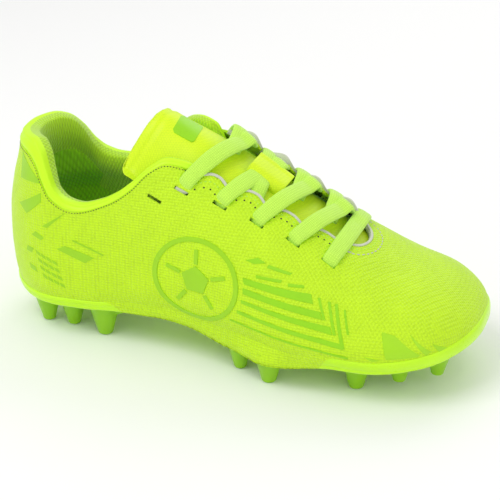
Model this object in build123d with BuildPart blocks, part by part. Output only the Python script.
"""Junior soccer cleat, right foot, modelled as the pieces it is made from.

Millimetres. While it is built, X runs from the heel (0) to the toe, +Y is the inner (medial)
side, Z is up and z = 0 is the ground under the studs. At the end every piece is moved so that
the origin is on the ground under the middle of the shoe. Every layer of the upper is cut from
one last-shaped form, so the layers nest with a hair of clearance between them.
"""
from build123d import *
import math
import os

import numpy as np

# ---- driving dimensions -------------------------------------------------------------------
LENGTH = 211.0  # heel to toe of the upper
HEEL_ROUND = 32.0  # plan length over which the heel closes
TOE_ROUND = 38.0  # plan length over which the toe closes
NOSE_ROUND = 26.0  # length over which the toe box drops to the sole
HEEL_BLEND = 70.0  # how far forward the heel's backward lean is felt
SIDE_POWER = 2.2  # how square the sides are against the ridge
TUCK_HEIGHT, TUCK_SHARE = 11.0, 0.08  # the wall draws in towards the sole

GLUE = 0.15  # gap left between glued or stitched layers
MOVE = 0.5  # gap left beside a piece that moves
SKIN = 1.2  # upper
STIFFENER = 1.0  # heel counter, toe puff and eyestay backing
LINING = 0.8
PADDING = 3.7  # extra depth of the padded collar
PAD_FOOT, PAD_FRONT = 47.0, 94.0  # where it starts, above the ground and from the toe side
PLATE = 2.2  # outsole plate under the board
SOLE_UNDERCUT = 2.0  # the plate's underside draws in this far
FOXING_HEIGHT = 3.5  # how far the plate's rim climbs the upper
FOXING = 0.8  # thickness of that rim
BOARD = 1.6  # lasting board
INSOLE, INSOLE_COVER = 3.0, 0.8
TONGUE_SKIN, TONGUE_FOAM = 0.7, 3.2

LACE_WIDTH, LACE_THICK = 7.0, 1.2
EYELET_LENGTH, EYELET_SLIT = 7.0, 1.3
EYELET_PITCH = 16.2  # along the instep
FIRST_EYELET = 7.5  # up the instep from the throat's front end
LACED_ROWS = 5
OUTER_ROW, INNER_ROW = 24.5, -18.0  # eyelet rows, sideways on the instep plane
SPARE_UP, SPARE_OUT = 79.5, 27.0  # the unused top eyelet, further round the ankle

REACH = 80.0  # half length of a cutting prism, well past the shoe


def smooth_curve(knots):
    """Shape-keeping cubic through {position: value}, as a function of position."""
    at = np.array(sorted(knots), float)
    value = np.array([knots[x] for x in sorted(knots)], float)
    gap = np.diff(at)
    rise = np.diff(value) / gap
    slope = np.zeros(len(at))
    slope[0], slope[-1] = rise[0], rise[-1]
    for i in range(1, len(at) - 1):
        if rise[i - 1] * rise[i] > 0:
            w1, w2 = 2 * gap[i] + gap[i - 1], gap[i] + 2 * gap[i - 1]
            slope[i] = (w1 + w2) / (w1 / rise[i - 1] + w2 / rise[i])

    def curve(x):
        x = np.clip(np.asarray(x, float), at[0], at[-1])
        i = np.clip(np.searchsorted(at, x) - 1, 0, len(at) - 2)
        t = (x - at[i]) / gap[i]
        a = (1 + 2 * t) * (1 - t) ** 2 * value[i] + t * (1 - t) ** 2 * gap[i] * slope[i]
        return a + t * t * (3 - 2 * t) * value[i + 1] + t * t * (t - 1) * gap[i] * slope[i + 1]

    return curve


# The last: half widths either side of its centre line, the board line it stands on, and the
# height and sideways place of its ridge, all against x.
outer_width = smooth_curve(
    {0: 30, 30: 32, 60: 30.5, 85: 31.5, 115: 38, 145: 44, 165: 44.5, 190: 42, 211: 38}
)
inner_width = smooth_curve(
    {0: 30, 30: 32, 60: 30, 85: 28.5, 115: 32, 145: 39, 165: 41.5, 190: 39, 211: 32}
)
centre_line = smooth_curve({0: 0, 60: 0, 120: 0, 165: 0.5, 195: 3, 211: 5})
board_line = smooth_curve(
    {0: 19, 20: 17, 45: 17, 85: 21.5, 118: 19, 145: 16, 170: 16, 195: 19, 211: 23.5}
)
ridge_line = smooth_curve(
    {0: 114, 40: 120, 65: 114, 88: 99, 115: 81.5, 140: 67, 160: 56, 180: 46.5, 198: 41, 211: 37}
)
ridge_shift = smooth_curve({0: 0, 85: 0, 125: 2, 160: 4, 190: 6, 211: 7})
heel_lean = smooth_curve({10: 4, 20: 2, 30: 0.6, 40: 0, 52: 0.4, 66: 3, 78: 7, 90: 10})
roundness = smooth_curve({0: 2.9, 60: 2.5, 130: 2.0, 175: 2.1, 211: 2.8})

# The opening, seen from the side: the crest of the padded collar, and its stitch line.
outer_crest = smooth_curve(
    {0: 86, 20: 88, 26: 84.5, 30: 77, 34: 69.5, 39: 65.5, 45: 64.3,
     54: 66.8, 60: 70, 68: 76.3, 76: 83.6, 82: 86.5, 92: 85}
)
inner_crest = smooth_curve(
    {0: 86, 12: 88, 17: 86, 22: 80, 26: 73, 31: 69, 38: 67.5, 46: 68, 64: 80, 80: 93, 92: 94}
)
outer_stitch = smooth_curve(
    {0: 80, 10: 82, 18: 81.5, 24: 78, 28: 71, 32: 65, 42: 60.8,
     59: 66.4, 68: 73, 76: 81.3, 82: 84.2, 92: 82.3}
)
inner_stitch = smooth_curve(
    {0: 80, 10: 82, 16: 80, 20: 75, 24: 68, 30: 64.5, 38: 63.3, 55: 68, 64: 76, 80: 89, 92: 88}
)

# The instep plane lies along the ridge: u runs up it from the throat's front end, v is to the
# outer side. The throat and the tongue are drawn on it.
INSTEP_SLOPE = 31.2
INSTEP = Plane(
    origin=(162, 0, 55),
    x_dir=(-math.cos(math.radians(INSTEP_SLOPE)), 0, math.sin(math.radians(INSTEP_SLOPE))),
    z_dir=(math.sin(math.radians(INSTEP_SLOPE)), 0, math.cos(math.radians(INSTEP_SLOPE))),
)
THROAT = [
    (100, -16), (80, -12), (45, -9.5), (13, -9), (4, -7), (0, -1),
    (4, 7), (13, 13), (31, 15.8), (61, 18.5), (80, 20.5), (100, 22),
]
TONGUE = [
    (101, -4), (97, -11), (86, -17), (70, -19), (40, -18), (4, -14), (-5, -11),
    (-5, 11), (4, 18), (40, 23), (70, 26), (90, 27), (98, 24), (101, 14),
]


# ---- the last as a solid ------------------------------------------------------------------
def closing(x, z):
    """Share of the full width that the rounded heel and toe leave at (x, z)."""
    lean = heel_lean(z) * np.clip(1 - x / HEEL_BLEND, 0, 1) ** 1.5
    from_heel = np.clip((x - lean) / HEEL_ROUND, 0, 1)
    from_toe = np.clip((LENGTH - x) / TOE_ROUND, 0, 1)
    return np.sqrt(1 - (1 - from_heel) ** 2) * (1 - (1 - from_toe) ** 2.7) ** (1 / 2.7)


def ridge_height(x):
    from_toe = np.clip((LENGTH - x) / NOSE_ROUND, 0, 1)
    drop = (1 - (1 - from_toe) ** 2.6) ** (1 / 2.6)
    return board_line(x) + (ridge_line(x) - board_line(x)) * drop


def ridge_place(x):
    """Sideways place of the ridge, drawn to the centre line at both ends."""
    return centre_line(x) + (ridge_shift(x) - centre_line(x)) * closing(x, 45.0)


def half_width(x, z, side, grow):
    """Sideways reach from the ridge at (x, z) of the last grown outward by grow."""
    s = (x + grow) * LENGTH / (LENGTH + 2 * grow)
    base, top = board_line(s), ridge_height(s) + grow
    rise = np.clip((z - base) / np.maximum(top - base, 1e-6), 0, 1)
    shift = (ridge_shift(s) - centre_line(s)) * side
    reach = np.where(side < 0, outer_width(s), inner_width(s)) - shift + grow
    tuck = TUCK_SHARE * np.clip(1 - (z - base) / TUCK_HEIGHT, 0, 1) ** 2
    undercut = SOLE_UNDERCUT * np.clip((base - z) / PLATE, 0, 1) ** 2
    crown = (1 - rise ** roundness(s)) ** (1 / SIDE_POWER)
    return (reach * (1 - tuck) - undercut) * closing(s, z) * crown


def find_edge(test, within, beyond):
    """Last x at which test still holds, between one that passes and one that doesn't."""
    for _ in range(40):
        middle = (within + beyond) / 2
        if test(middle):
            within = middle
        else:
            beyond = middle
    return within


def padding(x, z):
    """How much deeper the padded collar makes the lining at (x, z)."""
    rise = (z - board_line(x)) / (ridge_height(x) - board_line(x))
    upward = np.clip((z - PAD_FOOT) / 13, 0, 1)
    forward = np.clip((PAD_FRONT - x) / 20, 0, 1)
    near_ridge = np.clip((0.95 - rise) / 0.12, 0, 1)
    share = upward * forward * near_ridge
    return PADDING * share * share * (3 - 2 * share)


def outline(z, grow, padded=False, stations=12):
    """Points round the grown last at height z: heel, outer side, toe, inner side."""

    def half(x, side):
        depth = padding(x, z) if padded else 0.0
        return float(half_width(x, z, side, grow - depth))

    heel = find_edge(lambda x: half(x, -1) > 0.01, 30.0, -2 * FOXING)
    toe = find_edge(lambda x: half(x, -1) > 0.01, 60.0, LENGTH + 2 * FOXING)
    shares = [(1 - math.cos(math.pi * (i + 1) / (stations + 1))) / 2 for i in range(stations)]
    xs = [heel + (toe - heel) * share for share in shares]
    outer_side = [(x, float(ridge_place(x)) - half(x, -1)) for x in xs]
    inner_side = [(x, float(ridge_place(x)) + half(x, 1)) for x in reversed(xs)]
    return [(heel, float(ridge_place(heel))), *outer_side, (toe, float(ridge_place(toe))), *inner_side]


FORM_HEIGHTS = [10, 16, 22, 28, 33, 37, 40, 43, 46, 50, 55, 60, 66, 72, 78, 84, 90, 96, 102, 108, 112]
SOLE_HEIGHTS = [10, 12, *np.arange(13.5, 28, 1.1), 30]


def form(grow, padded=False, heights=FORM_HEIGHTS):
    """The last grown outward by grow, as a tall solid to be cut at its edges."""
    with BuildPart() as solid:
        for z in heights:
            points = outline(z, grow, padded)
            even = [i / len(points) for i in range(len(points) + 1)]
            with BuildSketch(Plane.XY.offset(z)):
                with BuildLine():
                    add(Edge.make_spline([Vector(*p) for p in points], periodic=True, parameters=even))
                make_face()
        loft()
    return solid.part


# ---- cutting prisms -----------------------------------------------------------------------
def side_band(low, high, start=-10.0, end=LENGTH + 10, y_from=-REACH, y_to=REACH, step=7.0):
    """Prism along Y between two curves of height against x."""
    count = max(4, round((end - start) / step))
    xs = np.linspace(start, end, count + 1)
    with BuildPart() as band:
        with BuildSketch(Plane.XZ.offset(-y_to)):
            with BuildLine():
                Spline(*[(x, float(low(x))) for x in xs])
                Spline(*[(x, float(high(x))) for x in reversed(xs)])
                Line((start, float(high(start))), (start, float(low(start))))
                Line((end, float(low(end))), (end, float(high(end))))
            make_face()
        extrude(amount=y_to - y_from)
    return band.part


def above_board(rise=0.0):
    """Curve that stands the given height over the board line."""
    return lambda x: board_line(x) + rise


def level(height):
    return lambda x: height + 0 * x


def beneath(outer_line, inner_line, low, start=-10.0, end=LENGTH + 10):
    """Everything between low and a height line that differs from side to side."""
    with BuildPart() as both:
        add(side_band(low, outer_line, start, end, -REACH, 0, step=4.0))
        add(side_band(low, inner_line, start, end, 0, REACH, step=4.0))
    return both.part


def instep_prism(points, down=60.0, up=60.0):
    """Prism across the instep plane, round the closed curve through points."""
    with BuildPart() as prism:
        with BuildSketch(INSTEP.offset(-down)):
            with BuildLine():
                curve = Spline(*points)
                Line(curve @ 1, curve @ 0)
            make_face()
        extrude(amount=down + up)
    return prism.part


def block(x_from, x_to, y_from, y_to, z_from=0.0, z_to=130.0):
    with BuildPart() as box:
        with BuildSketch(Plane.XY.offset(z_from)):
            with Locations(((x_from + x_to) / 2, (y_from + y_to) / 2)):
                Rectangle(x_to - x_from, y_to - y_from)
        extrude(amount=z_to - z_from)
    return box.part


def cut_out(label, whole, keep=(), drop=()):
    """The whole, kept inside every solid of keep and outside every solid of drop."""
    with BuildPart() as piece:
        add(whole)
        for solid in keep:
            add(solid, mode=Mode.INTERSECT)
        for solid in drop:
            add(solid, mode=Mode.SUBTRACT)
    piece.part.label = label
    return piece.part


def between(outside, inside):
    """Shell left between two nested forms."""
    with BuildPart() as shell:
        add(outside)
        add(inside, mode=Mode.SUBTRACT)
    return shell.part


FAR = level(125.0)
throat = instep_prism(THROAT)
opening_margin = 2.0  # the backing shows this far inside the upper's cut edge
narrow_throat = instep_prism([(u, v - math.copysign(opening_margin, v - 3)) for u, v in THROAT if u > 3])


def eyelet_places():
    """Centres of the eyelet slits on the instep plane, both rows and the spare pair."""
    rows = [FIRST_EYELET + EYELET_PITCH * i for i in range(LACED_ROWS)]
    outer_row = [(u, OUTER_ROW) for u in rows] + [(SPARE_UP, SPARE_OUT)]
    inner_row = [(u, INNER_ROW) for u in rows] + [(SPARE_UP, INNER_ROW - (SPARE_OUT - OUTER_ROW))]
    return outer_row, inner_row


with BuildPart() as eyelet_cutter:
    with BuildSketch(INSTEP.offset(-45)):
        with Locations(*eyelet_places()[0], *eyelet_places()[1]):
            Rectangle(EYELET_LENGTH, EYELET_SLIT)
    extrude(amount=60)

# ---- nested forms, from the outside in ----------------------------------------------------
skin_outside = form(0)
skin_inside = form(-SKIN)
stiffener_outside = form(-SKIN - GLUE)
stiffener_inside = form(-SKIN - GLUE - STIFFENER)
lining_depth = SKIN + STIFFENER + 2 * GLUE
lining_outside = form(-lining_depth, padded=True)
lining_inside = form(-lining_depth - LINING, padded=True)

skin = between(skin_outside, skin_inside)
stiffener = between(stiffener_outside, stiffener_inside)
lining = between(lining_outside, lining_inside)

parts = []

# ---- upper --------------------------------------------------------------------------------
under_stitch = beneath(outer_stitch, inner_stitch, above_board())
upper_whole = cut_out("upper", skin, keep=[under_stitch], drop=[throat, eyelet_cutter.part])
SEAM_FOOT, SEAM_HEAD, SEAM_TOP = 116.0, 150.0, 90.0  # vamp seam: its x on the ground and at the top
BACKSTAY_HALF = 9.0


def seam_prism(shift, x_far):
    """Everything on one side of the vamp seam, in side view."""
    with BuildPart() as prism:
        with BuildSketch(Plane.XZ.offset(-REACH)):
            with BuildLine():
                foot, head = (SEAM_FOOT + shift, 0), (SEAM_HEAD + shift, SEAM_TOP)
                Polyline(foot, head, (x_far, SEAM_TOP), (x_far, 0), close=True)
            make_face()
        extrude(amount=2 * REACH)
    return prism.part


before_seam = seam_prism(GLUE / 2, LENGTH + 10)
vamp = cut_out("vamp", upper_whole, keep=[before_seam])
behind_seam = seam_prism(-GLUE / 2, -10)
quarters = cut_out("quarters", upper_whole, keep=[behind_seam])
backstay_zone = block(-5, 16, -BACKSTAY_HALF, BACKSTAY_HALF)
outer_half, inner_half = block(-5, 160, -REACH, 0), block(-5, 160, 0, REACH)
lateral_quarter = cut_out("lateral_quarter", quarters, keep=[outer_half], drop=[backstay_zone])
medial_quarter = cut_out("medial_quarter", quarters, keep=[inner_half], drop=[backstay_zone])
inner_backstay_zone = block(-5, 16 - GLUE, -BACKSTAY_HALF + GLUE, BACKSTAY_HALF - GLUE)
heel_backstay = cut_out("heel_backstay", quarters, keep=[inner_backstay_zone])
parts += [vamp, lateral_quarter, medial_quarter, heel_backstay]

# ---- stiffeners between upper and lining ----------------------------------------------------
COUNTER_TOP, COUNTER_FRONT, PUFF_REAR = 50.0, 62.0, 184.0
counter_zone = side_band(above_board(), level(COUNTER_TOP), -10, COUNTER_FRONT)
heel_counter = cut_out("heel_counter", stiffener, keep=[counter_zone])
toe_puff = cut_out("toe_puff", stiffener, keep=[side_band(above_board(), FAR, PUFF_REAR, LENGTH + 10)])
BACKING_START = 84.0  # its rear end; the collar's padding takes over behind it
BACKING_WIDTH, BACKING_END, BACKING_FOOT = 13.0, 78.0, 35.0
THROAT_MIDDLE = 3.0  # sideways place of the middle of the throat
backing_rim = instep_prism(
    [(u, v + math.copysign(BACKING_WIDTH, v - THROAT_MIDDLE)) for u, v in THROAT if u < BACKING_END]
)
eyestay_backing = cut_out(
    "eyestay_backing",
    stiffener,
    keep=[backing_rim, beneath(outer_stitch, inner_stitch, level(BACKING_FOOT))],
    drop=[narrow_throat, eyelet_cutter.part, block(-10, BACKING_START, -REACH, REACH)],
)
parts += [heel_counter, toe_puff, eyestay_backing]

# ---- padded collar and linings --------------------------------------------------------------
COLLAR_FRONT, FOAM_FRONT, FOAM_FOOT = 90.0, 82.0, 51.5
CAP = 1.0  # how far the foam stays under the crest


def below_crest(drop_by, low):
    return beneath(lambda x: outer_crest(x) - drop_by, lambda x: inner_crest(x) - drop_by, low)


foam_inside = form(-lining_depth + GLUE, padded=True)
rear_zone = block(-10, COLLAR_FRONT, -REACH, REACH)
collar_foam = cut_out(
    "collar_foam",
    between(stiffener_outside, foam_inside),
    keep=[below_crest(CAP, level(FOAM_FOOT)), block(-10, FOAM_FRONT, -REACH, REACH)],
    drop=[narrow_throat, eyelet_cutter.part],
)

BINDING_START = -4.0  # behind the heel, so that the band closes round it


def collar_band(stitch, crest, y_from, y_to):
    """Prism between the stitch line and the crest on one side of the shoe."""
    return side_band(lambda x: stitch(x) + MOVE, crest, BINDING_START, COLLAR_FRONT, y_from, y_to, step=4.0)


with BuildPart() as binding_zone:
    add(collar_band(outer_stitch, outer_crest, -REACH, 0))
    add(collar_band(inner_stitch, inner_crest, 0, REACH))
collar_binding = cut_out(
    "collar_binding", between(form(-2 * GLUE), skin_inside), keep=[binding_zone.part], drop=[narrow_throat]
)
LINING_SEAM = 108.0
collar_lining = cut_out(
    "collar_lining",
    lining,
    keep=[below_crest(0, above_board(GLUE)), block(-10, LINING_SEAM, -REACH, REACH)],
    drop=[narrow_throat, eyelet_cutter.part],
)
vamp_lining = cut_out(
    "vamp_lining",
    lining,
    keep=[side_band(above_board(GLUE), FAR), block(LINING_SEAM + GLUE, LENGTH + 10, -REACH, REACH)],
    drop=[narrow_throat, eyelet_cutter.part],
)
parts += [collar_foam, collar_binding, collar_lining, vamp_lining]

# ---- tongue: face, foam and lining, and the keeper that the laces run under ------------------
TONGUE_DROP = 20.0  # how far its sides wrap round below the instep plane
tongue_zone = instep_prism(TONGUE, down=TONGUE_DROP)
TONGUE_HEIGHTS = [40, 46, 50, 55, 60, 66, 72, 78, 84, 90, 96, 102, 108]


def tongue_core(depth):
    """Everything in the tongue's outline that lies deeper than depth under the upper."""
    return cut_out("core", form(-depth, padded=True, heights=TONGUE_HEIGHTS), keep=[tongue_zone])


tongue_depth = lining_depth + LINING + MOVE
tongue_layers = [("tongue_face", TONGUE_SKIN), ("tongue_foam", TONGUE_FOAM), ("tongue_lining", TONGUE_SKIN)]
for name, thickness in tongue_layers:
    parts.append(cut_out(name, tongue_core(tongue_depth), drop=[tongue_core(tongue_depth + thickness)]))
    tongue_depth += thickness + GLUE

KEEPER_FROM, KEEPER_TO, KEEPER_OUTER, KEEPER_INNER = 39.0, 57.0, 9.0, -4.0
KEEPER_THICK = 0.9
with BuildPart() as keeper_zone:
    with BuildSketch(INSTEP.offset(-20)):
        with Locations(((KEEPER_FROM + KEEPER_TO) / 2, (KEEPER_OUTER + KEEPER_INNER) / 2)):
            RectangleRounded(KEEPER_TO - KEEPER_FROM, KEEPER_OUTER - KEEPER_INNER, 2)
    extrude(amount=60)
keeper_depth = lining_depth + LINING + MOVE - GLUE
over_keeper = form(-keeper_depth + KEEPER_THICK, heights=TONGUE_HEIGHTS)
under_keeper = form(-keeper_depth, heights=TONGUE_HEIGHTS)
keeper_top = cut_out("keeper_top", over_keeper, keep=[keeper_zone.part])
parts.append(cut_out("tongue_lace_keeper", keeper_top, drop=[under_keeper]))

# ---- shoelace: one bar across the front, then crossed runs up to the last row ----------------
LACE_LIFT = 0.3  # clear of the upper that it lies on
FORWARD = 9.0  # how far each run slants towards the toe
RUN_END = 7.0  # where a run dips under the opposite edge


def lace_run(start, end):
    """Prism over one straight run of lace, seen on the instep plane."""
    across = (end[0] - start[0], end[1] - start[1])
    middle = ((start[0] + end[0]) / 2, (start[1] + end[1]) / 2)
    with BuildPart() as run:
        with BuildSketch(INSTEP.offset(-25)):
            with Locations(Location((*middle, 0), (0, 0, math.degrees(math.atan2(across[1], across[0]))))):
                Rectangle(math.hypot(*across), LACE_WIDTH)
        extrude(amount=60)
    return run.part


rows = [FIRST_EYELET + EYELET_PITCH * i for i in range(LACED_ROWS)]
under_bottom, under_top = form(LACE_LIFT), form(LACE_LIFT + LACE_THICK)
over_bottom, over_top = form(2 * LACE_LIFT + LACE_THICK), form(2 * LACE_LIFT + 2 * LACE_THICK)
with BuildPart() as shoelace:
    bar = lace_run((rows[0], OUTER_ROW), (rows[0], INNER_ROW))
    add(cut_out("bar", bar, keep=[under_top], drop=[under_bottom]))
    for u in rows[1:]:
        outer_run = lace_run((u, OUTER_ROW), (u - FORWARD, -RUN_END))
        inner_run = lace_run((u, INNER_ROW), (u - FORWARD, 2 * RUN_END))
        add(cut_out("run", outer_run, keep=[under_top], drop=[under_bottom]))
        add(cut_out("run", inner_run, keep=[over_top], drop=[over_bottom]))
shoelace.part.label = "shoelace"
parts.append(shoelace.part)

# ---- board and sockliner ----------------------------------------------------------------------
board_form = form(-lining_depth - LINING - 2 * GLUE)
board_zone = side_band(above_board(GLUE), above_board(GLUE + BOARD))
lasting_board = cut_out("lasting_board", board_form, keep=[board_zone])
insole_form = form(-lining_depth - LINING - 2 * MOVE)
insole_low = GLUE + BOARD + MOVE
insole_top = insole_low + INSOLE
sockliner_foam = cut_out(
    "sockliner_foam", insole_form, keep=[side_band(above_board(insole_low), above_board(insole_top))]
)
cover_low = insole_top + GLUE
cover_zone = side_band(above_board(cover_low), above_board(cover_low + INSOLE_COVER))
sockliner_cover = cut_out("sockliner_cover", insole_form, keep=[cover_zone])
parts += [lasting_board, sockliner_foam, sockliner_cover]

# ---- outsole plate and studs ------------------------------------------------------------------
foot_well = cut_out("foot_well", form(GLUE), keep=[side_band(above_board(-GLUE), FAR)])
outsole_plate = cut_out(
    "outsole_plate",
    form(FOXING, heights=SOLE_HEIGHTS),
    keep=[side_band(above_board(-PLATE), above_board(FOXING_HEIGHT))],
    drop=[foot_well],
)
parts.append(outsole_plate)

HEEL_STUDS = [(20, 15.5, 2.9), (32.5, 15.5, 2.9), (49.5, 19, 3.4)]  # x, half spacing, tip radius
OUTER_FORE_STUDS = [  # x, y, height of the tip, tip radius
    (115.5, -27, 0, 2.7), (130.5, -33.5, 0, 3.2), (165.5, -26, 0, 3.2),
    (182, -21, 3.5, 2.8), (196, -14, 5.5, 2.7),
]
INNER_FORE_STUDS = [
    (116, 21, 0, 2.7), (132, 28, 0, 3.2), (166, 27, 0, 3.2), (182, 23, 3.5, 2.8), (196, 16, 5.5, 2.7),
]
CENTRE_STUDS = [(148, -3, 0, 2.9), (175, 2, 2.5, 2.7)]
STUD_TAPER = 0.24  # growth of the radius per millimetre of height
STUD_ROOT, ROOT_HEIGHT = 1.3, 3.5
TIP_ROUND = 1.2
STUD_TOP = 26.0


def stud(x, y, tip, radius):
    """Round-tipped cone with a flared root, standing on its tip; its top is cut by the plate."""
    root = float(board_line(x)) - PLATE - ROOT_HEIGHT
    neck = radius + STUD_TAPER * (root - tip)
    profile_plane = Plane(origin=(x, y, 0), x_dir=(1, 0, 0), z_dir=(0, -1, 0))
    with BuildPart() as cone:
        with BuildSketch(profile_plane):
            with BuildLine():
                foot = Line((0, tip), (radius - TIP_ROUND, tip))
                edge = RadiusArc(foot @ 1, (radius, tip + TIP_ROUND), -TIP_ROUND)
                side = Line(edge @ 1, (neck, root))
                flare = Line(side @ 1, (neck + STUD_ROOT, root + ROOT_HEIGHT))
                Polyline(flare @ 1, (neck + STUD_ROOT, STUD_TOP), (0, STUD_TOP), (0, tip))
            make_face()
        revolve(axis=Axis((x, y, 0), (0, 0, 1)))
    return cone.part


RAIL_PLACE, RAIL_WIDTH, RAIL_DEPTH = 16.5, 5.0, 2.5  # low rail that joins the heel studs of one side
WEB_LENGTH, WEB_WIDTH, WEB_DEPTH = 16.0, 3.4, 7.5  # web from the front heel stud to the arch
plate_and_above = side_band(above_board(-PLATE - GLUE), FAR, -20, LENGTH + 20)

with BuildPart() as heel_studs:
    for side in (-1, 1):
        for x, spacing, radius in HEEL_STUDS:
            add(stud(x, side * spacing, 0, radius))
        rear, front = HEEL_STUDS[0], HEEL_STUDS[-1]
        plate_foot = float(board_line(front[0])) - PLATE
        add(
            block(
                rear[0], front[0], side * RAIL_PLACE - RAIL_WIDTH / 2, side * RAIL_PLACE + RAIL_WIDTH / 2,
                plate_foot - RAIL_DEPTH, STUD_TOP,
            )
        )
        with BuildSketch(Plane.XZ.offset(-side * front[1] - WEB_WIDTH / 2)):
            with BuildLine():
                Polyline(
                    (front[0], plate_foot - WEB_DEPTH), (front[0] + WEB_LENGTH, plate_foot),
                    (front[0] + WEB_LENGTH, STUD_TOP), (front[0], STUD_TOP), close=True,
                )
            make_face()
        extrude(amount=WEB_WIDTH)
    add(plate_and_above, mode=Mode.SUBTRACT)
heel_studs.part.label = "heel_studs"

with BuildPart() as forefoot_studs:
    for x, y, tip, radius in OUTER_FORE_STUDS + INNER_FORE_STUDS + CENTRE_STUDS:
        add(stud(x, y, tip, radius))
    add(plate_and_above, mode=Mode.SUBTRACT)
forefoot_studs.part.label = "forefoot_studs"
parts += [heel_studs.part, forefoot_studs.part]

# ---- one frame for all: origin on the ground under the middle of the shoe -----------------------
boxes = [piece.bounding_box() for piece in parts]
middle_x = (min(b.min.X for b in boxes) + max(b.max.X for b in boxes)) / 2
middle_y = (min(b.min.Y for b in boxes) + max(b.max.Y for b in boxes)) / 2
lowest = min(b.min.Z for b in boxes)
print("moved by", round(-middle_x, 3), round(-middle_y, 3), round(-lowest, 3))

os.makedirs("parts", exist_ok=True)
for piece in parts:
    name = piece.label
    placed = Pos(-middle_x, -middle_y, -lowest) * piece
    placed.label = name
    export_step(placed, f"parts/{name}.step")
